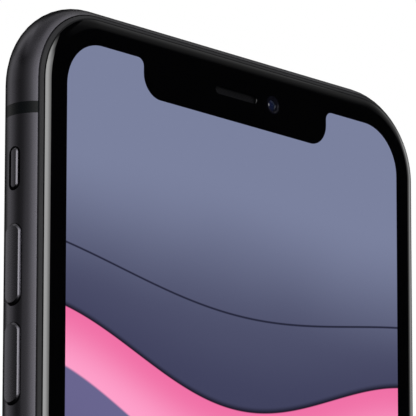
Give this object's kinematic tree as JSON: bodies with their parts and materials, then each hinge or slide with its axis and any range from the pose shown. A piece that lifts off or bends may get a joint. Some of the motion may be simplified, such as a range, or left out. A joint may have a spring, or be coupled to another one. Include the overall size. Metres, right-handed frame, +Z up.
{
  "type": "smartphone",
  "caption": "Slab smartphone with a notched full-face screen, rounded metal band, sprung side buttons, ring switch, SIM tray, charging port and a raised rear camera pill.",
  "frame": {"origin": "bottom centre of the phone's box as it stands on its bottom edge, level with the lowest point of the band", "axes": "+Z up the phone towards the earpiece, -Y out of the screen, +X to the right as one looks at the screen"},
  "size_m": [0.0764, 0.0098, 0.1509],
  "materials": {
    "anodised_band": "dark anodised, fine bead-blasted satin",
    "button_aluminium": "dark anodised, satin",
    "plateau_aluminium": "dark anodised, matt",
    "ring_aluminium": "dark anodised, turned and polished",
    "inner_aluminium": "plain machined",
    "antenna_plastic": "dyed to match the band, satin",
    "trim_plastic": "moulded, satin",
    "black_plastic": "moulded, matt",
    "white_plastic": "moulded, matt",
    "chip_plastic": "moulded epoxy",
    "flash_plastic": "clear lens over a yellow emitter",
    "battery_wrap": "black foil wrap",
    "flex_polyimide": "amber film",
    "board_laminate": "solder mask over laminate",
    "seal_rubber": "silicone",
    "front_glass": "clear cover glass over a black printed mask, polished",
    "rear_glass": "black backed glass, polished",
    "lens_glass": "coated lens glass",
    "screen": "lit display with a plain abstract picture",
    "speaker_mesh": "black woven mesh",
    "steel": "stamped sheet",
    "dark_steel": "black plated",
    "gold_contacts": "gold plated",
    "copper_coil": "enamelled wire under film"
  },
  "bodies": {
    "chassis": {"frame_band": "anodised_band", "antenna_breaks": "antenna_plastic", "mid_plate": "inner_aluminium", "rear_trim": "black_plastic", "rear_glass": "rear_glass", "display_trim": "trim_plastic", "front_glass": "front_glass", "display_panel": "screen", "backlight_unit": "white_plastic", "display_shield": "steel", "earpiece_mesh": "speaker_mesh", "earpiece_speaker": "black_plastic", "front_camera": "black_plastic", "front_camera_lens": "lens_glass", "infrared_camera": "black_plastic", "dot_projector": "steel", "flood_emitter": "white_plastic", "light_sensor": "white_plastic", "sensor_bracket": "steel", "ring_switch_base": "black_plastic", "volume_switches": "steel", "volume_bracket": "steel", "side_switch": "steel", "side_bracket": "steel", "sim_reader": "steel", "charging_port": "steel", "port_tongue": "black_plastic", "port_contacts": "gold_contacts", "bottom_screws": "dark_steel", "acoustic_meshes": "speaker_mesh", "loudspeaker": "black_plastic", "bottom_microphone": "steel", "haptic_motor": "steel", "battery": "battery_wrap", "battery_adhesive": "white_plastic", "battery_flex": "flex_polyimide", "main_board": "board_laminate", "board_chips": "chip_plastic", "board_shields": "steel", "connector_cover": "steel", "board_screws": "dark_steel", "display_flex": "flex_polyimide", "dock_flex": "flex_polyimide", "charging_coil": "copper_coil", "rear_camera_main": "black_plastic", "rear_camera_wide": "black_plastic", "camera_plateau": "plateau_aluminium", "lens_rings": "ring_aluminium", "lens_covers": "lens_glass", "flash_window": "flash_plastic", "flash_led": "gold_contacts", "rear_mic_mesh": "speaker_mesh"},
    "volume_up": {"volume_up_button": "button_aluminium"},
    "volume_down": {"volume_down_button": "button_aluminium"},
    "side_key": {"side_button": "button_aluminium"},
    "ring_switch": {"ring_switch_lever": "button_aluminium"},
    "sim": {"sim_tray": "anodised_band", "sim_tray_seal": "seal_rubber", "sim_card": "white_plastic"}
  },
  "joints": [
    {"name": "volume_up_press", "type": "slide", "parent": "chassis", "child": "volume_up", "axis": [1, 0, 0], "range_m": [0, 0.00025], "stiffness_N_per_m": 400, "springref_m": -0.0005},
    {"name": "volume_down_press", "type": "slide", "parent": "chassis", "child": "volume_down", "axis": [1, 0, 0], "range_m": [0, 0.00025], "stiffness_N_per_m": 400, "springref_m": -0.0005},
    {"name": "side_button_press", "type": "slide", "parent": "chassis", "child": "side_key", "axis": [-1, 0, 0], "range_m": [0, 0.00025], "stiffness_N_per_m": 400, "springref_m": -0.0005},
    {"name": "ring_switch_slide", "type": "slide", "parent": "chassis", "child": "ring_switch", "axis": [0, 1, 0], "range_m": [0, 0.00044]},
    {"name": "sim_tray_slide", "type": "slide", "parent": "chassis", "child": "sim", "axis": [1, 0, 0], "range_m": [0, 0.014]}
  ]
}
